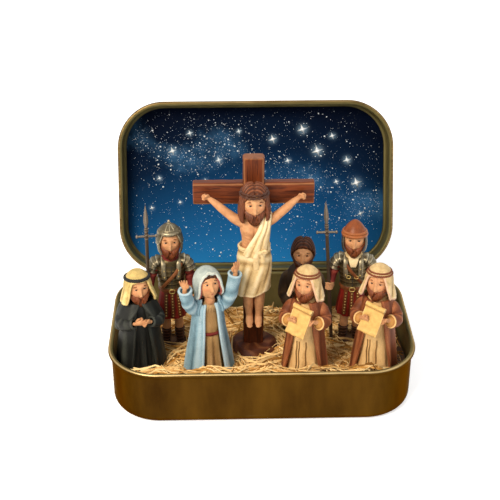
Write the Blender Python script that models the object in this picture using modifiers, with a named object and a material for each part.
"""Hinged keepsake tin, open, with a cross and eight small figures standing in a bed of straw.

Metres, +Z up. The origin is on the table, under the middle of the tin's base.
+X is to the right of someone facing the open tin, and +Y is towards the lid.
"""

import math

import bmesh
import bpy
import numpy as np
from mathutils import Matrix, Vector

MM = 0.001
SLIVER = 0.0000001

# Tin
TIN_WIDTH = 0.100
TIN_DEPTH = 0.0626
BASE_HEIGHT = 0.0200
LID_HEIGHT = 0.0100
CORNER_RADIUS = 0.0170
SHEET = 0.0004
BEAD_RADIUS = 0.0008
RIM_OVERHANG = 0.0010
FOOT_RADIUS = 0.0030
LID_BEND = 0.0012
LID_INSET = 0.0004
RIM_GAP = 0.0002
LID_OPEN_DEG = 112.0
CORNER_STEPS = 5
FOOT_STEPS = 2

# Hinges, two of them on the back, with their axis below the rims
HINGE_DROP = 0.0036
HINGE_BEHIND = 0.0011
HINGE_FROM_CORNER = 0.0003
KNUCKLE_RADIUS = 0.0011
KNUCKLE_BORE = 0.00055
PIN_RADIUS = 0.0004
BASE_KNUCKLE = 0.0080
LID_KNUCKLE = 0.0035
KNUCKLE_GAP = 0.00025
STRAP_REACH = 0.0039
PIN_OVERHANG = 0.0003

# Print in the lid
PRINT_THICKNESS = 0.0003
PRINT_MARGIN = 0.0008

# Straw bed, higher at the front, and the loose straws on it
BED_FRONT = 0.0115
BED_BACK = 0.0050
TUFT_HEIGHT = 0.0012
TUFT_SPACING = 0.0096
BED_ACROSS = 27
BED_ALONG = 17
SINK = 0.0008
STRAW_RADIUS = 0.00035
STRAW_LENGTH = 0.0120
STRAW_ARCH = 0.0015
STRAW_END_SINK = 0.0013
STRAW_TOP = 0.0122
STRAW_TRIES = 72

# Places of the figures: the outermost stand this far inside the tin's outline
END_ROOM = 0.0102
FRONT_ROOM = 0.0143
FIGURE_ROOM = 0.0088

# What touches keeps this gap, and cloth is this thick
CLEAR = 0.0003
CLOTH = 0.0008

# Cross
CROSS_X = -0.0024
CROSS_Y = 0.0001
POST_WIDTH = 0.0068
POST_THICKNESS = 0.0042
POST_LENGTH = 0.0712
BAR_LENGTH = 0.0382
BAR_WIDTH = 0.0076
BAR_THICKNESS = 0.0036
BAR_ABOVE_FOOT = 0.0587
PLINTH_RADIUS = 0.0095
PLINTH_TOP_RADIUS = 0.0062
PLINTH_HEIGHT = 0.0042
MORTISE_FLOOR = 0.0015
EDGE_ROUND = 0.0004

# The figure on the cross, measured down from the middle of the bar
SHOULDER_BELOW = 0.0056
WAIST_BELOW = 0.0168
KNEE_BELOW = 0.0340
BODY_DEPTH = 0.0030
FIST = 0.0017
HEM_RISE = 0.0026
DRAPE_FOLD = 0.00035

# Heads
HEAD_WIDE = 0.0035
HEAD_DEEP = 0.0037
HEAD_TALL = 0.0047
NOSE = 0.0008
BEARD = 0.0012
CRUCIFIED_HEAD = 1.12
HEAD_COLUMNS = 12
HEAD_ROWS = 7
NOSE_ROW = 3
CAP_COLUMNS = 14
DRAPE_COLUMNS = 18

# Robes and cloaks
ROBE_COLUMNS = 16
CLOAK_COLUMNS = 13
SHOE_REACH = 0.0012
ROBE_HEM = 0.0064
ROBE_HEIGHT = 0.0304
ROBE_SHOULDER = 0.0043
CLOAKED_HEM = 0.0066
CLOAKED_HEIGHT = 0.0266
CLOAKED_SHOULDER = 0.0050
WOMAN_HEM = 0.0068
WOMAN_HEIGHT = 0.0280
WOMAN_SHOULDER = 0.0040
BACK_MAN_HEM = 0.0066
BACK_MAN_HEIGHT = 0.0280
BACK_MAN_SHOULDER = 0.0058
PLEAT = 0.0003
SLEEVE = 0.0020
SLEEVE_MOUTH = 0.0023
HAND = 0.0012

# Scrolls
SCROLL_WIDTH = 0.0066
SCROLL_LENGTH = 0.0100
SCROLL_ROLL = 0.0008
PARCHMENT = 0.0005

# Soldiers
SOLDIER_SHOULDER = 0.0350
SOLDIER_NECK = 0.0065
SOLDIER_BELT = 0.0235
SOLDIER_HEM = 0.0130
LEG = 0.0014
BOOT_LENGTH = 0.0042
BOOT_WIDTH = 0.0030
BOOT_HEIGHT = 0.0016
ARM = 0.0014
ARMOUR = 0.0007
ARMOUR_BANDS = 3
BAND_STEP = 0.00025
SPEAR_RADIUS = 0.0006
SPEAR_LENGTH = 0.0560
SPEAR_GUARD = 0.0062
GUARD_BELOW_TIP = 0.0113
BLADE_LENGTH = 0.0078
BLADE_RADIUS = 0.0010

HINGE_Y = TIN_DEPTH / 2 + HINGE_BEHIND
HINGE_Z = BASE_HEIGHT + RIM_GAP / 2 - HINGE_DROP
HINGE_LENGTH = BASE_KNUCKLE + 2 * (LID_KNUCKLE + KNUCKLE_GAP)
HINGE_SPACING = TIN_WIDTH - 2 * CORNER_RADIUS - HINGE_LENGTH - 2 * HINGE_FROM_CORNER
SOLDIER_HEAD = SOLDIER_SHOULDER + SOLDIER_NECK
INNER_INSET = RIM_OVERHANG + SHEET
FRONT = -math.pi / 2


# Scene and materials

def clear_scene():
    for thing in list(bpy.data.objects):
        bpy.data.objects.remove(thing, do_unlink=True)


def new_collection(name):
    found = bpy.data.collections.new(name)
    bpy.context.scene.collection.children.link(found)
    return found


def material(name, colour, roughness, metallic=0.0):
    made = bpy.data.materials.new(name)
    made.use_nodes = True
    shader = made.node_tree.nodes["Principled BSDF"]
    shader.inputs["Base Color"].default_value = (*colour, 1.0)
    shader.inputs["Roughness"].default_value = roughness
    shader.inputs["Metallic"].default_value = metallic
    made.diffuse_color = (*colour, 1.0)
    return made


# Mesh helpers

def mesh_object(name, verts, faces):
    """A new object from points and faces, its faces turned outward if it is closed."""
    mesh = bpy.data.meshes.new(name)
    mesh.from_pydata([tuple(v) for v in verts], [], faces)
    mesh.update()
    thing = bpy.data.objects.new(name, mesh)
    PARTS.objects.link(thing)
    return thing


def face_out(thing):
    work = bmesh.new()
    work.from_mesh(thing.data)
    bmesh.ops.recalc_face_normals(work, faces=work.faces)
    work.to_mesh(thing.data)
    work.free()
    return thing


def grid_faces(rows, columns, wrap):
    """Quads of a grid whose columns run anticlockwise from above and whose rows run upwards."""
    last = columns if wrap else columns - 1
    faces = []
    for row in range(rows - 1):
        for column in range(last):
            after = (column + 1) % columns
            low, high = row * columns, (row + 1) * columns
            faces.append((low + column, low + after, high + after, high + column))
    return faces


def loft(name, sections):
    """A closed solid through sections with equal numbers of points, its ends filled."""
    sections = [np.asarray(section) for section in sections]
    columns = len(sections[0])
    faces = grid_faces(len(sections), columns, True)
    faces.append(tuple(reversed(range(columns))))
    faces.append(tuple(range((len(sections) - 1) * columns, len(sections) * columns)))
    return face_out(mesh_object(name, np.vstack(sections), faces))


def shell(name, rows, thickness, wrap=True, pole=None):
    """A sheet through rows of points, from low to high, thickened outwards."""
    rows = [np.asarray(row) for row in rows]
    columns = len(rows[0])
    verts = np.vstack(rows)
    faces = grid_faces(len(rows), columns, wrap)
    if pole is not None:
        verts = np.vstack([verts, [pole]])
        top = (len(rows) - 1) * columns
        for column in range(columns):
            faces.append((top + column, top + (column + 1) % columns, len(verts) - 1))
    thing = mesh_object(name, verts, faces)
    wall = thing.modifiers.new("wall", "SOLIDIFY")
    wall.thickness = thickness
    wall.offset = 1.0
    return settle(thing)


def settle(thing):
    """Replaces an object's mesh by what its modifiers make of it."""
    bpy.context.view_layer.update()
    seen = thing.evaluated_get(bpy.context.evaluated_depsgraph_get())
    made = bpy.data.meshes.new_from_object(seen)
    old = thing.data
    thing.modifiers.clear()
    thing.data = made
    bpy.data.meshes.remove(old)
    return thing


def combine(thing, operation, *others):
    """Joins others to a solid, or cuts it by them, one Boolean after another."""
    for other in others:
        step = thing.modifiers.new(operation, "BOOLEAN")
        step.operation = operation
        step.object = other
        step.solver = "EXACT"
        settle(thing)
        bpy.data.objects.remove(other, do_unlink=True)
    work = bmesh.new()
    work.from_mesh(thing.data)
    bmesh.ops.dissolve_degenerate(work, dist=SLIVER, edges=work.edges)
    bmesh.ops.triangulate(work, faces=[face for face in work.faces if len(face.verts) > 4])
    work.to_mesh(thing.data)
    work.free()
    return thing


def fuse(thing, *others):
    return combine(thing, "UNION", *others)


def cut(thing, *others):
    return combine(thing, "DIFFERENCE", *others)


def tube(name, points, radii, resolution=1, cyclic=False):
    """A round bar along points, with a radius at each, made from a curve with filled caps."""
    path = bpy.data.curves.new(name, "CURVE")
    path.dimensions = "3D"
    path.bevel_depth = MM
    path.bevel_resolution = resolution
    path.use_fill_caps = True
    spline = path.splines.new("POLY")
    spline.points.add(len(points) - 1)
    for point, place, radius in zip(spline.points, points, radii):
        point.co = (*place, 1.0)
        point.radius = radius / MM
    spline.use_cyclic_u = cyclic
    curve = bpy.data.objects.new(name + "_path", path)
    PARTS.objects.link(curve)
    bpy.context.view_layer.update()
    seen = curve.evaluated_get(bpy.context.evaluated_depsgraph_get())
    mesh = bpy.data.meshes.new_from_object(seen)
    work = bmesh.new()
    work.from_mesh(mesh)
    bmesh.ops.remove_doubles(work, verts=work.verts, dist=1e-6)
    bmesh.ops.recalc_face_normals(work, faces=work.faces)
    work.to_mesh(mesh)
    work.free()
    thing = bpy.data.objects.new(name, mesh)
    thing.matrix_world = curve.matrix_world
    PARTS.objects.link(thing)
    bpy.data.objects.remove(curve, do_unlink=True)
    return thing


def ball(name, centre, half_sizes, columns=8, rows=4):
    work = bmesh.new()
    place = Matrix.Translation(centre) @ Matrix.Diagonal((*half_sizes, 1.0))
    bmesh.ops.create_uvsphere(work, u_segments=columns, v_segments=rows, radius=1.0, matrix=place)
    mesh = bpy.data.meshes.new(name)
    work.to_mesh(mesh)
    work.free()
    thing = bpy.data.objects.new(name, mesh)
    PARTS.objects.link(thing)
    return thing


def rod(name, centre, radius, length, axis="X", sides=12, end_radius=None):
    """A cylinder or cone along an axis, from the cone primitive."""
    turns = {"X": Matrix.Rotation(math.pi / 2, 4, "Y"), "Y": Matrix.Rotation(-math.pi / 2, 4, "X"),
             "Z": Matrix.Identity(4)}
    work = bmesh.new()
    bmesh.ops.create_cone(work, cap_ends=True, segments=sides, radius1=radius,
                          radius2=radius if end_radius is None else end_radius, depth=length,
                          matrix=Matrix.Translation(centre) @ turns[axis])
    mesh = bpy.data.meshes.new(name)
    work.to_mesh(mesh)
    work.free()
    thing = bpy.data.objects.new(name, mesh)
    PARTS.objects.link(thing)
    return thing


def block(name, low, high, rounding=0.0):
    """A box between two corners, with its edges rounded by a Bevel."""
    low, high = Vector(low), Vector(high)
    work = bmesh.new()
    size = high - low
    bmesh.ops.create_cube(work, size=1.0, matrix=Matrix.Translation((low + high) / 2)
                          @ Matrix.Diagonal((*size, 1.0)))
    mesh = bpy.data.meshes.new(name)
    work.to_mesh(mesh)
    work.free()
    thing = bpy.data.objects.new(name, mesh)
    PARTS.objects.link(thing)
    if rounding:
        edge = thing.modifiers.new("rounding", "BEVEL")
        edge.width = rounding
        edge.segments = 2
        settle(thing)
    return thing


def turned(name, profile, steps=16):
    """A solid of revolution about Z: a profile from its top down its outer side, with a Screw."""
    verts = [(radius, 0.0, height) for radius, height in profile]
    mesh = bpy.data.meshes.new(name)
    mesh.from_pydata(verts, [(k, k + 1) for k in range(len(verts) - 1)], [])
    thing = bpy.data.objects.new(name, mesh)
    PARTS.objects.link(thing)
    spin = thing.modifiers.new("turn", "SCREW")
    spin.steps = steps
    spin.render_steps = steps
    spin.use_merge_vertices = True
    spin.merge_threshold = 0.00001
    return face_out(settle(thing))


def move(thing, matrix):
    thing.data.transform(matrix)
    return thing


def dress(thing, name, look, parent=None):
    """Names a finished piece, gives it its material and hangs it on its parent."""
    thing.name = name
    thing.data.name = name
    thing.data.materials.clear()
    thing.data.materials.append(look)
    thing.data.shade_smooth()
    thing.data.set_sharp_from_angle(angle=math.radians(40))
    if parent is not None:
        thing.parent = parent
    return thing


def stand(name, place, turn_deg=0.0, tilt_deg=0.0):
    """An empty that carries a figure or the lid."""
    empty = bpy.data.objects.new(name, None)
    empty.location = place
    empty.rotation_euler = (math.radians(tilt_deg), 0.0, math.radians(turn_deg))
    PARTS.objects.link(empty)
    return empty


# Tin

def rounded_outline(width, depth, radius, height, centre_y=0.0):
    """Points of a rectangle with round corners, anticlockwise from above."""
    points = []
    for corner, (side_x, side_y) in enumerate(((1, 1), (-1, 1), (-1, -1), (1, -1))):
        for step in range(CORNER_STEPS + 1):
            angle = math.radians(90 * corner + 90 * step / CORNER_STEPS)
            points.append((side_x * (width / 2 - radius) + radius * math.cos(angle),
                           centre_y + side_y * (depth / 2 - radius) + radius * math.sin(angle), height))
    return np.array(points)


def tin_outline(inset, height, centre_y=0.0):
    """The tin's outline, moved in from the outside of its rim."""
    return rounded_outline(TIN_WIDTH - 2 * inset, TIN_DEPTH - 2 * inset, CORNER_RADIUS - inset,
                           height, centre_y)


def pan(name, inset, bend, flat_z, rim_z, centre_y=0.0):
    """A pressed tray from its flat at flat_z to a rolled rim at rim_z, which may lie below it.

    bend is the radius between the flat and the wall.
    """
    up = 1 if rim_z > flat_z else -1
    wall = inset + RIM_OVERHANG
    rows = []
    for step in range(FOOT_STEPS + 1):
        angle = math.radians(90 * step / FOOT_STEPS)
        rows.append(tin_outline(wall + bend * (1 - math.sin(angle)),
                                flat_z + up * bend * (1 - math.cos(angle)), centre_y))
    bead_z = rim_z - up * BEAD_RADIUS
    rows.append(tin_outline(wall, bead_z, centre_y))
    columns = len(rows[0])
    faces = grid_faces(len(rows), columns, True)
    faces.append(tuple(reversed(range(columns))))
    tray = mesh_object(name, np.vstack(rows), faces)
    if up < 0:
        tray.data.flip_normals()
    sheet = tray.modifiers.new("sheet", "SOLIDIFY")
    sheet.thickness = SHEET
    sheet.offset = -1.0
    settle(tray)
    path = tin_outline(inset + BEAD_RADIUS, bead_z, centre_y)
    bead = tube(name + "_bead", path, [BEAD_RADIUS] * len(path), 2, cyclic=True)
    return fuse(tray, bead)


def hinge_leaf(name, x, length, up, wall_y, reach):
    """A knuckle about the origin and the strap that carries it to a wall, up or down of the axis."""
    outer, inner, end = 0.8 * KNUCKLE_RADIUS, -0.64 * KNUCKLE_RADIUS, wall_y - SHEET / 2
    outline = [(end, -reach), (0.2 * outer, -reach + 1.2 * MM), (outer, -0.45 * KNUCKLE_RADIUS),
               (0.0, 0.0), (inner, -0.9 * KNUCKLE_RADIUS), (inner, -reach + 2.0 * MM),
               (end, -reach + 1.4 * MM)]
    ends = [[(x + side * length / 2, y, up * -z) for y, z in outline] for side in (-1, 1)]
    strap = loft(name + "_strap", ends)
    return fuse(rod(name, (x, 0.0, 0.0), KNUCKLE_RADIUS, length, sides=10), strap)


def knuckle_places():
    """Where the base's and the lid's knuckles lie along the axis."""
    base, lid = [], []
    for side in (-1, 1):
        middle = side * HINGE_SPACING / 2
        base.append((middle, BASE_KNUCKLE))
        for end in (-1, 1):
            offset = BASE_KNUCKLE / 2 + KNUCKLE_GAP + LID_KNUCKLE / 2
            lid.append((middle + end * offset, LID_KNUCKLE))
    return base, lid


def make_tin(looks):
    base_knuckles, lid_knuckles = knuckle_places()
    bore_length = TIN_WIDTH
    base = pan("base", 0.0, FOOT_RADIUS, 0.0, BASE_HEIGHT)
    wall_y = -(HINGE_BEHIND + RIM_OVERHANG)
    for x, length in base_knuckles:
        leaf = hinge_leaf("base_leaf", x, length, -1, wall_y, STRAP_REACH)
        fuse(base, move(leaf, Matrix.Translation((0.0, HINGE_Y, HINGE_Z))))
    cut(base, rod("bore", (0.0, HINGE_Y, HINGE_Z), KNUCKLE_BORE, bore_length, sides=10))
    dress(base, "tin_base", looks["tin"])

    pivot = stand("lid_pivot", (0.0, HINGE_Y, HINGE_Z), tilt_deg=-LID_OPEN_DEG)
    lid_centre = -(HINGE_BEHIND + TIN_DEPTH / 2)
    rim_z = RIM_GAP / 2 + HINGE_DROP
    lid = pan("lid", LID_INSET, LID_BEND, rim_z + LID_HEIGHT, rim_z, lid_centre)
    for x, length in lid_knuckles:
        fuse(lid, hinge_leaf("lid_leaf", x, length, 1, wall_y - LID_INSET, STRAP_REACH + HINGE_DROP))
    cut(lid, rod("bore", (0.0, 0.0, 0.0), KNUCKLE_BORE, bore_length, sides=10))
    dress(lid, "tin_lid", looks["tin"], pivot)

    pin_length = HINGE_LENGTH + 2 * PIN_OVERHANG
    for side, label in ((-1, "left"), (1, "right")):
        pin = rod("pin", (side * HINGE_SPACING / 2, HINGE_Y, HINGE_Z), PIN_RADIUS, pin_length, sides=10)
        dress(pin, "hinge_pin_" + label, looks["pin"])

    card_top = rim_z + LID_HEIGHT - SHEET - CLEAR
    inset = LID_INSET + RIM_OVERHANG + SHEET + PRINT_MARGIN
    card = loft("card", [tin_outline(inset, card_top - PRINT_THICKNESS, lid_centre),
                         tin_outline(inset, card_top, lid_centre)])
    dress(card, "sky_print", looks["print"], pivot)


# Straw bed

def bed_slope(y):
    """The straw's even slope, which falls towards the back."""
    half = TIN_DEPTH / 2 - INNER_INSET
    return BED_BACK + (BED_FRONT - BED_BACK) * (half - y) / (2 * half)


def bed_height(x, y):
    """The straw's top: the slope and rows of tufts, which wander from side to side."""
    turn = 2 * math.pi / TUFT_SPACING
    rows = np.sin(turn * x + 1.4 * np.sin(0.43 * turn * y))
    lines = np.cos(0.8 * turn * y + 0.6 * np.sin(0.32 * turn * x))
    return bed_slope(y) + TUFT_HEIGHT / 2 * rows * lines


def seat_height(y):
    """Where a figure's foot stands: a little below the straw's even slope."""
    return bed_slope(y) - SINK


def inside_tin(x, y, inset):
    """True where a point is inside the tin's outline by an inset or more."""
    past_x = max(abs(x) - TIN_WIDTH / 2 + CORNER_RADIUS, 0.0)
    past_y = max(abs(y) - TIN_DEPTH / 2 + CORNER_RADIUS, 0.0)
    return math.hypot(past_x, past_y) <= CORNER_RADIUS - inset


def straw_path(number):
    """An arched straw with both ends sunk in the bed.

    Its place and heading follow from its number, in steps that never fall into rows: a share of
    the width, a share of the depth and the golden angle in radians.
    """
    share_x, share_y, turn = 0.618034, 0.754878, 2.399963
    x = (TIN_WIDTH / 2 - INNER_INSET) * (2 * (number * share_x % 1) - 1)
    y = (TIN_DEPTH / 2 - INNER_INSET) * (2 * (number * share_y % 1) - 1)
    along = np.array([math.cos(turn * number), math.sin(turn * number)])
    aside = np.array([-along[1], along[0]])
    points = []
    for share in np.linspace(-1.0, 1.0, 5):
        arch = 1.0 - share ** 2
        px, py = (x, y) + along * share * STRAW_LENGTH / 2 + aside * arch * 0.1 * STRAW_LENGTH
        height = bed_slope(py) + STRAW_ARCH * arch - STRAW_END_SINK * (1.0 - arch)
        points.append((px, py, min(height, STRAW_TOP - STRAW_RADIUS)))
    return points


def loose_straws(spots):
    """Straws over the bed, apart from those that would reach a wall or a figure's place."""
    straws = []
    for number in range(STRAW_TRIES):
        path = straw_path(number)
        within = all(inside_tin(x, y, INNER_INSET + 4 * STRAW_RADIUS) for x, y, _ in path)
        nearest = min(math.hypot(x - a, y - b) for x, y, _ in path for a, b in spots)
        if within and nearest > FIGURE_ROOM:
            straws.append(tube("straw", path, [STRAW_RADIUS] * len(path), 0))
    return straws


def make_bed(looks, spots, pockets):
    """A block with a tufted top and its loose straws, cut to the base's inside and for each foot."""
    across = np.linspace(-TIN_WIDTH / 2, TIN_WIDTH / 2, BED_ACROSS)
    sections = []
    for y in np.linspace(-TIN_DEPTH / 2, TIN_DEPTH / 2, BED_ALONG):
        top = np.column_stack([across, np.full(BED_ACROSS, y), bed_height(across, y)])
        sections.append(np.vstack([[(across[0], y, 0.0)], top, [(across[-1], y, 0.0)]]))
    bed = fuse(loft("bed", sections), *loose_straws(spots))
    edge, floor = INNER_INSET + CLEAR, SHEET + CLEAR
    inside = loft("inside", [tin_outline(edge + FOOT_RADIUS, floor), tin_outline(edge, floor + FOOT_RADIUS),
                             tin_outline(edge, BASE_HEIGHT)])
    combine(bed, "INTERSECT", inside)
    dress(cut(bed, *pockets), "straw_bed", looks["straw"])


def pocket(place, turn_deg, half_width, half_depth, floor=None, sides=12):
    """A cutter for a foot: an oval pit from the seat upwards, CLEAR wider and deeper than the foot."""
    x, y = place
    floor = seat_height(y) if floor is None else floor
    depth = 2 * BED_FRONT
    pit = rod("pocket", (0.0, 0.0, 0.0), 1.0 / math.cos(math.pi / sides), depth, "Z", sides)
    wide, deep = half_width + CLEAR, half_depth + CLEAR
    spot = Matrix.Translation((x, y, floor - CLEAR + depth / 2))
    turn = Matrix.Rotation(math.radians(turn_deg), 4, "Z")
    return move(pit, spot @ turn @ Matrix.Diagonal((wide, deep, 1.0, 1.0)))


# Forms of bodies: rows of height, half width, half depth, forward shift and pleat depth

def rows_in_mm(*rows):
    """Rows of a form given in mm, where a row may leave out its shift and pleat."""
    return np.array([tuple(row) + (0.0,) * (5 - len(row)) for row in rows]) * MM


def oval(row, columns):
    height, wide, deep, shift, pleat = row
    angles = FRONT + 2 * math.pi * np.arange(columns) / columns
    inward = pleat * (np.arange(columns) % 2)
    return np.column_stack([(wide - inward) * np.cos(angles), shift + (deep - inward) * np.sin(angles),
                            np.full(columns, height)])


def grown(form, amount):
    """The form moved out by an amount along its own slope, and longer by it at both ends."""
    form = np.array(form, float)
    radius = (form[:, 1] + form[:, 2]) / 2
    along = np.gradient(np.column_stack([radius, form[:, 0]]), axis=0)
    along /= np.linalg.norm(along, axis=1)[:, None]
    out_r, out_z = along[:, 1], -along[:, 0]
    made = form.copy()
    made[:, 0] += amount * out_z
    made[:, 1] += amount * out_r
    made[:, 2] += amount * out_r
    made[0, 0] = form[0, 0] - amount
    made[-1, 0] = form[-1, 0] + amount
    made[:, 4] = 0.0
    return made


def body(name, form, columns=ROBE_COLUMNS):
    return loft(name, [oval(row, columns) for row in form])


def round_out(steps):
    """How far a polygon's corners lie out when its sides touch a circle."""
    return 1.0 / math.cos(math.pi / steps)


def envelope(form, amount):
    """A cutter round a form, at an amount from it at the middle of its sides."""
    around = grown(form, amount)
    around[:, 1:3] *= round_out(CLOAK_COLUMNS)
    return body("envelope", around, CLOAK_COLUMNS)


def clip_form(form, low, high):
    """The stretch of a form between two heights, with rows put in at both."""
    form = np.array(form, float)
    heights = [low] + [z for z in form[:, 0] if low < z < high] + [high]
    return np.array([[z] + [np.interp(z, form[:, 0], form[:, k]) for k in range(1, 5)] for z in heights])


def cloak(name, form, low, high, gape_low, gape_high, thickness=CLOTH):
    """A sheet round a form, open at the front by an angle that changes from its hem to its top."""
    around = grown(form, CLEAR)
    around[:, 1:3] *= round_out(CLOAK_COLUMNS)
    rows = []
    stretch = clip_form(around, low, high)
    for row in stretch:
        share = (row[0] - low) / (high - low)
        gape = math.radians(gape_low + (gape_high - gape_low) * share)
        angles = np.linspace(FRONT + gape, FRONT + 2 * math.pi - gape, CLOAK_COLUMNS)
        rows.append(np.column_stack([row[1] * np.cos(angles), row[3] + row[2] * np.sin(angles),
                                     np.full(CLOAK_COLUMNS, row[0])]))
    return shell(name, rows, thickness, wrap=False)


# Heads and what they wear

def head_matrix(centre, turn_deg, tilt_deg, size=1.0):
    """Places a head: tilt lifts the face, and turn moves it towards +X."""
    return (Matrix.Translation(centre) @ Matrix.Rotation(math.radians(turn_deg), 4, "Z")
            @ Matrix.Rotation(math.radians(-tilt_deg), 4, "X") @ Matrix.Scale(size, 4))


def head(name, place, grow=0.0, beard=BEARD):
    """An egg-shaped head: the chin's side swells by the beard, and one point is drawn out as a nose."""
    angles = FRONT + 2 * math.pi * np.arange(HEAD_COLUMNS) / HEAD_COLUMNS
    facing = np.clip(-np.sin(angles), 0.0, 1.0)
    rows = []
    for row in range(1, HEAD_ROWS):
        latitude = math.radians(-90 + 180 * row / HEAD_ROWS)
        low = max(0.0, -math.sin(latitude))
        swell = beard * facing * math.sin(math.pi * min(1.0, 1.6 * low)) if low else 0.0 * facing
        drop = beard * facing * low
        ring = math.cos(latitude)
        nose = NOSE * (np.arange(HEAD_COLUMNS) == 0) * (row == NOSE_ROW)
        rows.append(np.column_stack([((HEAD_WIDE + grow) * ring + 0.2 * swell) * np.cos(angles),
                                     ((HEAD_DEEP + grow) * ring + swell + nose) * np.sin(angles),
                                     (HEAD_TALL + grow) * math.sin(latitude) - drop]))
    columns = HEAD_COLUMNS
    verts = np.vstack(rows + [[(0, 0, -HEAD_TALL - grow)], [(0, 0, HEAD_TALL + grow)]])
    faces = grid_faces(len(rows), columns, True)
    bottom, top, last = len(verts) - 2, len(verts) - 1, (len(rows) - 1) * columns
    for column in range(columns):
        after = (column + 1) % columns
        faces.append((after, column, bottom))
        faces.append((last + column, last + after, top))
    return move(face_out(mesh_object(name, verts, faces)), place)


def cap_shares(end, longest):
    """The shares of a cap's rows down one column: over the head in thirds, then to the rim.

    A column that ends early gathers its last rows just above its rim.
    """
    full = [1 / 3, 2 / 3, 1.0, longest]
    return [min(share, end * (1.0 - 0.03 * (3 - row))) for row, share in enumerate(full)]


def cap(name, place, rim, gap, thickness, drop, flare=0.0, band=None):
    """A sheet over a head, from its crown to a rim.

    A place on it is an angle from the face and a share: the shares 0 to 1 run over the head from
    its crown to its widest level, and from there the sheet falls straight by drop for each 1 more.
    rim gives the share where the sheet ends at an angle, and band is a share with a raised ring.
    """
    angles = FRONT + 2 * math.pi * np.arange(CAP_COLUMNS) / CAP_COLUMNS
    away = np.degrees(np.abs(np.arctan2(np.sin(angles - FRONT), np.cos(angles - FRONT))))
    ends = [rim(a) for a in away]
    shares = np.array([cap_shares(end, max(ends)) for end in ends])
    out = round_out(CAP_COLUMNS) * round_out(12)
    wide, deep, tall = (HEAD_WIDE + gap) * out, (HEAD_DEEP + gap) * out, (HEAD_TALL + gap) * out
    rows = []
    for share in shares.T[::-1]:
        over = np.clip(share, 0.0, 1.0)
        below = np.clip(share - 1.0, 0.0, None)
        ring = np.sin(over * math.pi / 2) * (1 + flare * below)
        if band is not None:
            ring = ring * (1 + 0.07 * np.exp(-((share - band) / 0.09) ** 2))
        rows.append(np.column_stack([wide * ring * np.cos(angles), deep * ring * np.sin(angles),
                                     tall * np.cos(over * math.pi / 2) - drop * below]))
    made = shell(name, rows, thickness, pole=(0.0, 0.0, tall))
    return move(made, place)


def step_rim(*levels):
    """A rim that goes from one share to the next at given angles: (angle, share) pairs."""
    angles = [level[0] for level in levels]
    shares = [level[1] for level in levels]
    return lambda away: float(np.interp(away, angles, shares))


SCARF_RIM = step_rim((0, 0.58), (45, 0.66), (62, 1.9), (180, 2.0))
HOOD_RIM = step_rim((0, 0.55), (40, 0.70), (60, 1.45), (180, 1.7))
HAIR_RIM = step_rim((0, 0.50), (30, 0.60), (55, 1.2), (75, 1.95), (180, 1.8))
SHORT_HAIR_RIM = step_rim((0, 0.50), (35, 0.62), (60, 1.15), (90, 1.4), (180, 1.5))
HELMET_RIM = step_rim((0, 0.62), (40, 0.62), (52, 1.7), (78, 1.7), (90, 1.2), (130, 1.45), (180, 1.5))
HAT_RIM = step_rim((0, 0.66), (60, 0.70), (75, 1.3), (95, 1.3), (110, 1.35), (180, 1.4))


# Robed men

def robe_form(hem, height, shoulder, depth_share=0.84):
    """A long robe: a round hem, a taper to the shoulders and a neck."""
    turned_in, neck = hem - 0.3 * MM, 0.6 * shoulder
    knee, hip = hem + 0.45 * (shoulder - hem), hem + 0.80 * (shoulder - hem)
    return np.array([
        (0.0, turned_in, turned_in * depth_share, 0.0, PLEAT),
        (0.8 * MM, hem, hem * depth_share, 0.0, PLEAT),
        (0.35 * height, knee, knee * depth_share, 0.0, PLEAT),
        (0.62 * height, hip, hip * 0.88, 0.0, PLEAT / 2),
        (0.82 * height, shoulder, shoulder * 0.86, 0.0, 0.0),
        (0.93 * height, shoulder * 0.86, shoulder * 0.76, 0.0, 0.0),
        (height, neck, neck, 0.0, 0.0)])


def scroll_sheet(name, place, grow=0.0):
    """A parchment: a roll at its top, a flat sheet and a curl at its foot, straight across."""
    roll, half = SCROLL_ROLL + grow, PARCHMENT / 2 + grow
    top, foot = SCROLL_LENGTH / 2, -SCROLL_LENGTH / 2
    outline = []
    for step in range(9):
        angle = math.radians(-60 + 300 * step / 8)
        outline.append((roll * math.cos(angle), top + roll * math.sin(angle)))
    outline += [(-half, foot + 1.4 * MM), (-half - 0.7 * MM, foot - grow), (half - 0.7 * MM, foot - grow),
                (half, foot + 1.2 * MM)]
    wide = SCROLL_WIDTH / 2 + grow
    made = loft(name, [[(side * wide, y, z) for y, z in outline] for side in (-1, 1)])
    return move(made, place)


def arm_points(side, level, *points):
    """Points of the arm on a side: given in mm for the right arm, with heights above a level."""
    return [(side * x * MM, y * MM, level + z * MM) for x, y, z in points]


def joined_to_cloth(cloth, form, wall, *limbs):
    """Limbs end halfway inside a cloth's wall, and become one piece with it."""
    for limb in limbs:
        cut(limb, envelope(form, CLEAR + wall / 2))
    return fuse(cloth, *limbs)


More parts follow.
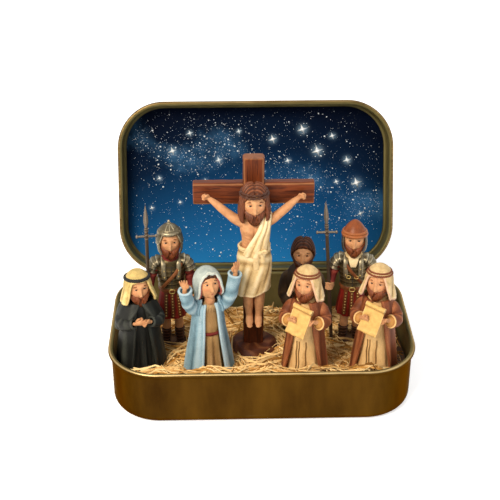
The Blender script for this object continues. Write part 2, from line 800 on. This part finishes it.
def scroll_bearer(label, place_xy, turn_deg, looks):
    x, y = place_xy
    feet = stand(label + "_stand", (x, y, seat_height(y)), turn_deg)
    form = robe_form(ROBE_HEM, ROBE_HEIGHT, ROBE_SHOULDER)
    head_place = head_matrix((0.0, -0.6 * MM, ROBE_HEIGHT + 0.8 * MM + HEAD_TALL), -4.0, 8.0)
    armpit = 0.82 * ROBE_HEIGHT

    robe = body("robe", form)
    for side in (-1, 1):
        toe = (side * 2.4 * MM, -ROBE_HEM * 0.84 + 0.7 * MM, 0.85 * MM)
        fuse(robe, ball("shoe", toe, (1.4 * MM, SHOE_REACH + 0.7 * MM, 0.8 * MM)))
    cut(robe, head("socket", head_place, CLEAR))
    dress(robe, label + "_robe", looks["cream"], feet)

    wrap = cloak("cloak", form, 1.6 * MM, 0.93 * ROBE_HEIGHT, 44.0, 30.0)
    sleeves, hands = [], []
    for side in (-1, 1):
        arm = arm_points(side, armpit, (3.6, 0.4, 0.1), (6.0, -0.6, -2.3), (5.9, -3.0, -3.5),
                         (4.6, -5.4, -2.3))
        sleeves.append(tube("sleeve", arm, [SLEEVE * 0.9, SLEEVE, SLEEVE * 1.05, SLEEVE_MOUTH]))
        palm = arm_points(side, armpit, (5.0, -4.8, -2.5), (3.6, -7.2, -1.3), (3.0, -7.9, -0.9))
        hands.append(tube("hand", palm, [HAND, HAND * 1.15, HAND * 0.6]))
    joined_to_cloth(wrap, form, CLOTH, *sleeves)
    fuse(wrap, *hands)
    held = Matrix.Translation((0.0, -7.6 * MM, armpit - 3.5 * MM))
    scroll_place = (held @ Matrix.Rotation(math.radians(24), 4, "Y")
                    @ Matrix.Rotation(math.radians(-14), 4, "X"))
    cut(wrap, head("socket", head_place, CLEAR), scroll_sheet("slot", scroll_place, CLEAR))
    dress(wrap, label + "_cloak", looks["brown"], feet)

    scroll = cut(scroll_sheet("scroll", scroll_place), envelope(form, CLEAR))
    dress(scroll, label + "_scroll", looks["parchment"], feet)
    dress(head("head", head_place), label + "_head", looks["skin"], feet)
    scarf = cap("scarf", head_place, SCARF_RIM, CLEAR, CLOTH * 0.9, 5.4 * MM, 0.34, band=0.50)
    cut(scarf, envelope(form, 2 * CLEAR + CLOTH))
    dress(scarf, label + "_headscarf", looks["linen"], feet)
    return pocket(place_xy, turn_deg, ROBE_HEM + CLEAR + CLOTH, ROBE_HEM * 0.84 + CLOTH + SHOE_REACH)


def cloaked_man(label, place_xy, turn_deg, looks):
    x, y = place_xy
    feet = stand(label + "_stand", (x, y, seat_height(y)), turn_deg)
    height, hem = CLOAKED_HEIGHT, CLOAKED_HEM
    armpit = 0.82 * height
    form = robe_form(hem, height, CLOAKED_SHOULDER)
    head_place = head_matrix((0.0, -0.8 * MM, height + 0.6 * MM + HEAD_TALL), 6.0, 8.0)
    robe = cut(body("robe", form), head("socket", head_place, CLEAR))
    dress(robe, label + "_robe", looks["charcoal"], feet)

    wrap = cloak("cloak", form, 1.2 * MM, 0.94 * height, 30.0, 22.0)
    arms = []
    for side in (-1, 1):
        arm = arm_points(side, armpit, (4.2, 0.2, 0.8), (6.0, -1.4, -2.6), (4.8, -4.8, -3.4),
                         (1.4, -6.8, -2.0))
        arms.append(tube("sleeve", arm, [SLEEVE, SLEEVE * 1.05, SLEEVE, SLEEVE * 0.85]))
    clasp = ball("clasp", (0.0, -7.2 * MM, armpit - 1.8 * MM), (2.3 * MM, 1.5 * MM, 1.5 * MM))
    fuse(joined_to_cloth(wrap, form, CLOTH, *arms), clasp)
    cut(wrap, head("socket", head_place, CLEAR))
    dress(wrap, label + "_cloak", looks["charcoal"], feet)

    dress(head("head", head_place), label + "_head", looks["skin"], feet)
    scarf = cap("scarf", head_place, SCARF_RIM, CLEAR, CLOTH * 0.9, 5.4 * MM, 0.34, band=0.50)
    cut(scarf, envelope(form, 2 * CLEAR + CLOTH))
    dress(scarf, label + "_headscarf", looks["linen"], feet)
    return pocket(place_xy, turn_deg, hem + CLEAR + CLOTH, hem * 0.84 + CLEAR + CLOTH)


def mantled_woman(label, place_xy, turn_deg, looks):
    x, y = place_xy
    feet = stand(label + "_stand", (x, y, seat_height(y)), turn_deg)
    height, hem = WOMAN_HEIGHT, WOMAN_HEM
    armpit = 0.82 * height
    form = robe_form(hem, height, WOMAN_SHOULDER)
    head_place = head_matrix((0.0, -0.4 * MM, height + 1.4 * MM + HEAD_TALL), 6.0, 24.0)
    gown = cut(body("dress", form), head("socket", head_place, CLEAR, 0.0))
    dress(gown, label + "_dress", looks["tan"], feet)

    wrap = cloak("mantle", form, 1.2 * MM, 0.93 * height, 30.0, 26.0)
    arms, palms, rooms = [], [], []
    for side, lift in ((-1, -2.2), (1, 2.0)):
        arm = arm_points(side, armpit, (2.0, 0.4, -0.4), (5.4, -1.0, 2.6), (7.6, -2.6, 7.6 + lift / 2),
                         (8.2, -3.2, 12.4 + lift))
        radii = np.array([1.0, 1.1, 1.05, 1.0]) * SLEEVE
        arms.append(tube("sleeve", arm, radii))
        rooms.append(tube("sleeve_room", arm, radii + CLEAR))
        palm = arm_points(side, armpit, (8.1, -3.1, 11.6 + lift), (8.4, -3.4, 14.4 + lift),
                          (8.7, -3.6, 17.2 + lift))
        palms.append(tube("palm", palm, [HAND * 0.9, HAND * 1.2, HAND * 0.5]))
    hood_gap = CLOTH * 0.9 + 2 * CLEAR
    fuse(joined_to_cloth(wrap, form, CLOTH, *arms), *palms)
    cut(wrap, head("socket", head_place, hood_gap, 0.0))
    dress(wrap, label + "_mantle", looks["blue"], feet)

    dress(head("head", head_place, 0.0, 0.0), label + "_head", looks["skin"], feet)
    hood = cap("hood", head_place, HOOD_RIM, CLEAR, CLOTH * 0.9, 5.0 * MM, 0.10)
    cut(hood, envelope(form, 2 * CLEAR + CLOTH), *rooms)
    dress(hood, label + "_hood", looks["blue"], feet)
    return pocket(place_xy, turn_deg, hem + CLEAR + CLOTH, hem * 0.84 + CLEAR + CLOTH)


def robed_man(label, place_xy, turn_deg, looks):
    x, y = place_xy
    feet = stand(label + "_stand", (x, y, seat_height(y)), turn_deg)
    height, hem = BACK_MAN_HEIGHT, BACK_MAN_HEM
    form = robe_form(hem, height, BACK_MAN_SHOULDER)
    head_place = head_matrix((0.0, -0.6 * MM, height + 0.9 * MM + HEAD_TALL), 0.0, 8.0)
    robe = body("robe", form)
    arms = []
    for side in (-1, 1):
        arm = arm_points(side, 0.82 * height, (5.0, 0.0, 0.6), (6.2, -1.0, -5.0), (4.0, -4.4, -8.0))
        arms.append(tube("sleeve", arm, [SLEEVE, SLEEVE, SLEEVE * 0.8]))
    cut(fuse(robe, *arms), head("socket", head_place, CLEAR))
    dress(robe, label + "_robe", looks["olive"], feet)
    dress(head("head", head_place), label + "_head", looks["skin"], feet)
    hair = cap("hair", head_place, SHORT_HAIR_RIM, CLEAR, CLOTH, 4.6 * MM, 0.0)
    cut(hair, envelope(form, CLEAR))
    dress(hair, label + "_hair", looks["hair"], feet)
    return pocket(place_xy, turn_deg, hem, hem * 0.84)


# Soldiers

def torso_form():
    """Waist, chest, shoulders and a neck that ends inside the head's socket."""
    belt, top, chin = SOLDIER_BELT, SOLDIER_SHOULDER, SOLDIER_HEAD - 0.85 * HEAD_TALL
    return rows_in_mm((belt / MM - 1.0, 3.4, 2.8), (belt / MM + 2.5, 3.6, 3.0), (top / MM - 3.5, 4.4, 3.3),
                      (top / MM - 1.2, 4.0, 3.0), (top / MM, 2.6, 2.3), (chin / MM, 1.9, 1.9))


def skirt_form():
    hem, belt = SOLDIER_HEM / MM, SOLDIER_BELT / MM
    return rows_in_mm((hem, 5.2, 4.4, 0.0, 0.6), ((hem + belt) / 2, 4.5, 3.8, 0.0, 0.5),
                      (belt, 3.6, 3.0, 0.0, 0.2))


def soldier_arm(side, hold, grow=0.0):
    """An arm from the shoulder by the elbow to the fist, each end drawn in."""
    shoulder = (side * 2.6 * MM, 0.0, SOLDIER_SHOULDER - 2.4 * MM)
    if hold:
        points = [shoulder, (side * 6.4 * MM, -0.8 * MM, SOLDIER_SHOULDER - 6.6 * MM),
                  (side * 7.2 * MM, -2.4 * MM, SOLDIER_SHOULDER - 9.6 * MM)]
    else:
        points = [shoulder, (side * 6.2 * MM, 0.2 * MM, SOLDIER_SHOULDER - 7.4 * MM),
                  (side * 6.0 * MM, -1.6 * MM, SOLDIER_SHOULDER - 12.4 * MM)]
    return tube("arm", points, [ARM * 1.25 + grow, ARM * 1.1 + grow, ARM * 0.8 + grow])


def fist_place(side, hold):
    if hold:
        return Vector((side * 7.7 * MM, -3.3 * MM, SOLDIER_SHOULDER - 10.6 * MM))
    return Vector((side * 6.0 * MM, -1.9 * MM, SOLDIER_SHOULDER - 13.2 * MM))


def spear(name, grow=0.0):
    """A turned shaft with a leaf blade, standing on its butt at the origin, and a crosswise guard."""
    shaft = SPEAR_RADIUS + grow
    top = SPEAR_LENGTH - BLADE_LENGTH
    profile = [(0.0, SPEAR_LENGTH + grow), (BLADE_RADIUS * 0.5 + grow, SPEAR_LENGTH - 0.25 * BLADE_LENGTH),
               (BLADE_RADIUS + grow, top + 0.30 * BLADE_LENGTH), (shaft * 0.9, top), (shaft, top - 0.6 * MM),
               (shaft, -grow), (0.0, -grow)]
    made = turned(name, profile, 8)
    if not grow:
        level = SPEAR_LENGTH - GUARD_BELOW_TIP
        fuse(made, rod("guard", (0.0, 0.0, level), SPEAR_RADIUS * 0.7, SPEAR_GUARD, "X", 8))
    return made


def soldier(label, place_xy, turn_deg, spear_lean_deg, helmet_rim, helmet_look, looks):
    x, y = place_xy
    feet = stand(label + "_stand", (x, y, seat_height(y)), turn_deg)
    form = torso_form()
    head_place = head_matrix((0.0, -0.5 * MM, SOLDIER_HEAD), 0.0, 8.0)
    fist = fist_place(-1, True)
    lean = Matrix.Rotation(math.radians(spear_lean_deg), 4, "Y")
    foot_shift = lean @ Vector((0.0, 0.0, fist.z))
    spear_place = Matrix.Translation((fist.x - foot_shift.x, fist.y, 0.0)) @ lean

    trunk = fuse(body("trunk", form, 12), body("skirt", skirt_form(), 16))
    for side in (-1, 1):
        ankle, knee = (side * 2.3 * MM, 0.2 * MM, 1.0 * MM), (side * 2.1 * MM, -0.2 * MM, 7.0 * MM)
        thigh = (side * 2.0 * MM, 0.0, SOLDIER_HEM + 1.5 * MM)
        fuse(trunk, tube("leg", [ankle, knee, thigh], [LEG, LEG * 1.05, LEG * 1.2]),
             ball("boot", (side * 2.4 * MM, -0.9 * MM, BOOT_HEIGHT / 2),
                  (BOOT_WIDTH / 2, BOOT_LENGTH / 2, BOOT_HEIGHT / 2)))
    fuse(trunk, soldier_arm(-1, True), soldier_arm(1, False))
    for side, hold in ((-1, True), (1, False)):
        fuse(trunk, ball("fist", fist_place(side, hold), (1.7 * MM, 1.7 * MM, 1.6 * MM)))
    cut(trunk, head("socket", head_place, CLEAR), move(spear("grip", CLEAR), spear_place))
    dress(trunk, label + "_body", looks["red"], feet)

    bands = []
    around = grown(form, CLEAR)
    low, high = SOLDIER_BELT + 0.4 * MM, SOLDIER_SHOULDER - 0.4 * MM
    banded = 0.72 * (high - low)
    for band in range(ARMOUR_BANDS):
        start = low + banded * band / ARMOUR_BANDS
        end = start + banded / ARMOUR_BANDS - BAND_STEP
        for level, out in ((start, 1.4 * BAND_STEP), (end, 0.0)):
            bands.append(oval(clip_form(around, level, high)[0] + np.array([0, out, out, 0, 0]), 12))
    bands += [oval(row, 12) for row in clip_form(around, low + banded, high)]
    plate = shell("armour", bands, ARMOUR)
    for side in (-1, 1):
        over_shoulder = (side * 4.6 * MM, 0.0, SOLDIER_SHOULDER - 2.2 * MM)
        joined_to_cloth(plate, form, ARMOUR, ball("plate", over_shoulder, (2.7 * MM, 2.6 * MM, 2.1 * MM)))
    cut(plate, soldier_arm(-1, True, CLEAR), soldier_arm(1, False, CLEAR),
        head("socket", head_place, 2 * CLEAR + ARMOUR + 0.2 * MM))
    dress(plate, label + "_armour", looks["bronze"], feet)

    dress(head("head", head_place), label + "_head", looks["skin"], feet)
    helmet = cap("helmet", head_place, helmet_rim, CLEAR, ARMOUR, 4.2 * MM, 0.14, band=0.60)
    knob = ball("knob", (0.0, 0.0, HEAD_TALL + CLEAR + ARMOUR), (0.7 * MM, 0.7 * MM, 0.8 * MM), 6, 4)
    fuse(helmet, move(knob, head_place))
    cut(helmet, envelope(form, 2 * CLEAR + ARMOUR))
    dress(helmet, label + "_helmet", helmet_look, feet)

    dress(move(spear("spear"), spear_place), label + "_spear", looks["iron"], feet)
    world = Matrix.Rotation(math.radians(turn_deg), 4, "Z")
    butt = world @ spear_place.to_translation()
    pits = [pocket((x + butt.x, y + butt.y), 0.0, SPEAR_RADIUS, SPEAR_RADIUS, seat_height(y), 8)]
    for side in (-1, 1):
        spot = world @ Vector((side * 2.4 * MM, -0.9 * MM, 0.0))
        pits.append(pocket((x + spot.x, y + spot.y), turn_deg, BOOT_WIDTH / 2, BOOT_LENGTH / 2,
                           seat_height(y), 8))
    return pits


# Cross and the figure on it

def make_cross(looks):
    foot = seat_height(CROSS_Y)
    base = stand("cross_stand", (CROSS_X, CROSS_Y, foot))
    post_foot = MORTISE_FLOOR + CLEAR
    half_w, half_t = POST_WIDTH / 2, POST_THICKNESS / 2
    bar_z = post_foot + BAR_ABOVE_FOOT
    post = block("post", (-half_w, -half_t, post_foot), (half_w, half_t, post_foot + POST_LENGTH), EDGE_ROUND)
    lap = block("lap", (-POST_WIDTH, 0.0, bar_z - BAR_WIDTH / 2 - CLEAR),
                (POST_WIDTH, POST_THICKNESS, bar_z + BAR_WIDTH / 2 + CLEAR))
    dress(cut(post, lap), "cross_post", looks["wood"], base)

    bar_front = -half_t + (POST_THICKNESS - BAR_THICKNESS)
    bar = block("bar", (-BAR_LENGTH / 2, bar_front, bar_z - BAR_WIDTH / 2),
                (BAR_LENGTH / 2, bar_front + BAR_THICKNESS, bar_z + BAR_WIDTH / 2), EDGE_ROUND)
    notch = block("notch", (-half_w - CLEAR, -POST_THICKNESS, bar_z - BAR_WIDTH),
                  (half_w + CLEAR, CLEAR, bar_z + BAR_WIDTH))
    dress(cut(bar, notch), "cross_bar", looks["wood"], base)

    profile = [(0.0, PLINTH_HEIGHT), (PLINTH_TOP_RADIUS, PLINTH_HEIGHT),
               (PLINTH_TOP_RADIUS + 1.0 * MM, PLINTH_HEIGHT - 0.5 * MM), (PLINTH_RADIUS - 0.5 * MM, 1.4 * MM),
               (PLINTH_RADIUS, 0.6 * MM), (PLINTH_RADIUS, 0.0), (0.0, 0.0)]
    mortise = block("mortise", (-half_w - CLEAR, -half_t - CLEAR, MORTISE_FLOOR),
                    (half_w + CLEAR, half_t + CLEAR, 2 * PLINTH_HEIGHT))
    dress(cut(turned("plinth", profile), mortise), "cross_plinth", looks["wood"], base)
    return base, bar_z, pocket((CROSS_X, CROSS_Y), 0.0, PLINTH_RADIUS, PLINTH_RADIUS)


def crucified_rows(waist, knee, shoulder, depth):
    """From above the knees by hips, waist and chest to the neck."""
    levels = (knee + 3.0 * MM, waist - 6.0 * MM, waist, waist + 4.0 * MM,
              shoulder - 3.6 * MM, shoulder - 1.0 * MM, shoulder + 0.8 * MM, shoulder + 1.8 * MM)
    wide = np.array([4.1, 4.5, 4.1, 3.9, 4.5, 4.3, 2.4, 1.9]) * MM
    deep = depth * np.array([1.0, 1.0, 0.92, 0.9, 1.0, 0.9, 0.66, 0.6])
    return np.column_stack([levels, wide, deep, np.zeros(8), np.zeros(8)])


def hip_drape(around, waist, knee):
    """A cloth round the hips, folded at the front, whose hem is lower on the left."""
    rows = []
    for share in (0.0, 1 / 3, 2 / 3, 1.0):
        ring = []
        for column in range(DRAPE_COLUMNS):
            angle = FRONT + 2 * math.pi * column / DRAPE_COLUMNS
            hem = knee + 0.4 * MM + HEM_RISE * (1 + math.cos(angle)) / 2
            level = hem + (waist + 1.5 * MM - hem) * share
            _, wide, deep, _, _ = clip_form(around, max(level, around[0, 0]), around[-1, 0])[0]
            fold = DRAPE_FOLD * math.sin(3 * angle + 7 * share) ** 2 if math.sin(angle) < 0.2 else 0.0
            ring.append(((wide + fold) * math.cos(angle), (deep + fold) * math.sin(angle), level))
        rows.append(ring)
    return shell("drape", rows, CLOTH)


def shoulder_sash(around, low, high):
    """The end of that cloth, a strip that narrows as it climbs aslant to one shoulder."""
    rows = []
    for share in np.linspace(0.0, 1.0, 6):
        level = low + (high - low) * share
        _, wide, deep, _, _ = clip_form(around, level, around[-1, 0])[0]
        middle, half = math.radians(-95 + 50 * share), math.radians(42 - 16 * share)
        angles = np.linspace(middle - half, middle + half, 6)
        rows.append(np.column_stack([wide * np.cos(angles), deep * np.sin(angles), np.full(6, level)]))
    return shell("sash", rows, CLOTH, wrap=False)


def crucified(base, bar_z, looks):
    """The figure hangs in front of the post: its drape's back lies CLEAR before the wood."""
    depth = BODY_DEPTH
    centre_y = -POST_THICKNESS / 2 - 2 * CLEAR - CLOTH - depth
    waist, knee, shoulder = bar_z - WAIST_BELOW, bar_z - KNEE_BELOW, bar_z - SHOULDER_BELOW
    form = crucified_rows(waist, knee, shoulder, depth)
    head_z = shoulder + 1.0 * MM + HEAD_TALL * CRUCIFIED_HEAD
    head_place = head_matrix((0.0, -0.8 * MM, head_z), 4.0, 2.0, CRUCIFIED_HEAD)

    wood_front = -centre_y - POST_THICKNESS / 2 - CLEAR
    bar_front = wood_front + POST_THICKNESS - BAR_THICKNESS
    wood_back = -centre_y + 2 * POST_THICKNESS
    bar_low, bar_high = bar_z - BAR_WIDTH, bar_z + BAR_WIDTH

    def bar_room():
        return block("bar_room", (-BAR_LENGTH, bar_front, bar_low), (BAR_LENGTH, wood_back, bar_high))

    hand_y = bar_front - FIST

    def arm(side, grow=0.0):
        """From inside the shoulder up along the bar to the wrist."""
        to_wrist = [(side * 2.6 * MM, 0.0, shoulder - 2.2 * MM), (side * 5.6 * MM, 0.0, shoulder - 0.4 * MM),
                    (side * 10.2 * MM, 0.4 * hand_y, shoulder + 2.8 * MM),
                    (side * 13.8 * MM, hand_y, bar_z - 0.2 * MM)]
        return tube("arm", to_wrist, np.array([1.9, 1.7, 1.35, 1.1]) * MM + grow)

    trunk = body("trunk", form, 14)
    for side in (-1, 1):
        fist = ball("fist", (side * 14.8 * MM, hand_y, bar_z + 0.5 * MM), (FIST, 0.94 * FIST, FIST))
        leg = [(side * 2.0 * MM, 0.0, knee + 6.0 * MM), (side * 1.9 * MM, -0.5 * MM, knee),
               (side * 1.7 * MM, 0.4 * MM, knee - 7.6 * MM), (side * 1.5 * MM, -0.6 * MM, knee - 9.4 * MM),
               (side * 1.5 * MM, -2.0 * MM, knee - 10.6 * MM)]
        fuse(trunk, arm(side), fist, tube("leg", leg, np.array([1.9, 1.75, 1.35, 1.45, 0.8]) * MM))
    cut(trunk, head("socket", head_place, CLEAR), bar_room())

    around = grown(form, CLEAR)
    drape = fuse(hip_drape(around, waist, knee), shoulder_sash(around, waist - 1.0 * MM, shoulder + 0.2 * MM))
    cut(drape, head("socket", head_place, CLEAR), arm(1, CLEAR))

    skull = head("head", head_place)
    hair = cap("hair", head_place, HAIR_RIM, CLEAR, CLOTH * 1.1, 4.8 * MM, 0.06)
    post_room = block("post_room", (-POST_WIDTH, wood_front, 0.0), (POST_WIDTH, wood_back, 2 * POST_LENGTH))
    cut(hair, envelope(form, CLEAR * 2 + CLOTH), post_room, bar_room(), arm(-1, CLEAR), arm(1, CLEAR))
    shift = Matrix.Translation((0.0, centre_y, 0.0))
    for thing, name, look in ((trunk, "body", "skin"), (drape, "drape", "linen"), (skull, "head", "skin"),
                              (hair, "hair", "hair")):
        dress(move(thing, shift), "crucified_" + name, looks[look], base)


# All together

def main():
    looks = {
        "tin": material("aged_gold_tinplate", (0.32, 0.24, 0.10), 0.35, 1.0),
        "pin": material("steel_wire", (0.45, 0.43, 0.40), 0.35, 1.0),
        "print": material("night_sky_card", (0.03, 0.12, 0.32), 0.45),
        "straw": material("straw", (0.68, 0.48, 0.20), 0.8),
        "wood": material("stained_wood", (0.26, 0.10, 0.06), 0.6),
        "skin": material("skin_clay", (0.82, 0.55, 0.34), 0.55),
        "linen": material("linen_clay", (0.78, 0.66, 0.42), 0.6),
        "cream": material("cream_clay", (0.80, 0.64, 0.40), 0.6),
        "brown": material("brown_clay", (0.32, 0.13, 0.07), 0.6),
        "charcoal": material("charcoal_clay", (0.05, 0.055, 0.05), 0.6),
        "blue": material("blue_clay", (0.25, 0.42, 0.55), 0.6),
        "tan": material("tan_clay", (0.50, 0.35, 0.18), 0.6),
        "olive": material("olive_clay", (0.10, 0.07, 0.03), 0.65),
        "hair": material("hair_clay", (0.09, 0.035, 0.02), 0.5),
        "red": material("red_clay", (0.30, 0.03, 0.02), 0.55),
        "bronze": material("bronze_paint", (0.30, 0.27, 0.20), 0.4, 0.7),
        "silver": material("silver_paint", (0.45, 0.42, 0.34), 0.35, 0.8),
        "leather": material("leather_paint", (0.40, 0.14, 0.06), 0.55),
        "iron": material("iron_paint", (0.16, 0.14, 0.12), 0.45, 0.6),
        "parchment": material("parchment", (0.80, 0.62, 0.30), 0.65),
    }
    make_tin(looks)
    base, bar_z, plinth_pocket = make_cross(looks)
    crucified(base, bar_z, looks)
    end_x, front_y = TIN_WIDTH / 2 - END_ROOM, TIN_DEPTH / 2 - FRONT_ROOM
    left, woman = (-end_x, -0.576 * front_y), (-0.437 * end_x, -0.812 * front_y)
    back_man = (0.367 * end_x, 0.624 * front_y)
    bearer_front, bearer_right = (0.349 * end_x, -front_y), (0.920 * end_x, -0.965 * front_y)
    soldier_left, soldier_right = (-0.749 * end_x, 0.329 * front_y), (0.779 * end_x, 0.306 * front_y)
    pockets = [plinth_pocket, cloaked_man("cloaked_man", left, 14.0, looks),
               mantled_woman("woman", woman, 18.0, looks), robed_man("back_man", back_man, -4.0, looks),
               scroll_bearer("bearer_front", bearer_front, -14.0, looks),
               scroll_bearer("bearer_right", bearer_right, -14.0, looks)]
    pockets += soldier("soldier_left", soldier_left, 6.0, 1.0, HELMET_RIM, looks["silver"], looks)
    pockets += soldier("soldier_right", soldier_right, -6.0, -4.0, HAT_RIM, looks["leather"], looks)
    spots = [(CROSS_X, CROSS_Y), left, woman, back_man, bearer_front, bearer_right, soldier_left,
             soldier_right]
    make_bed(looks, spots, pockets)


clear_scene()
PARTS = new_collection("resurrection_scene_tin")
main()
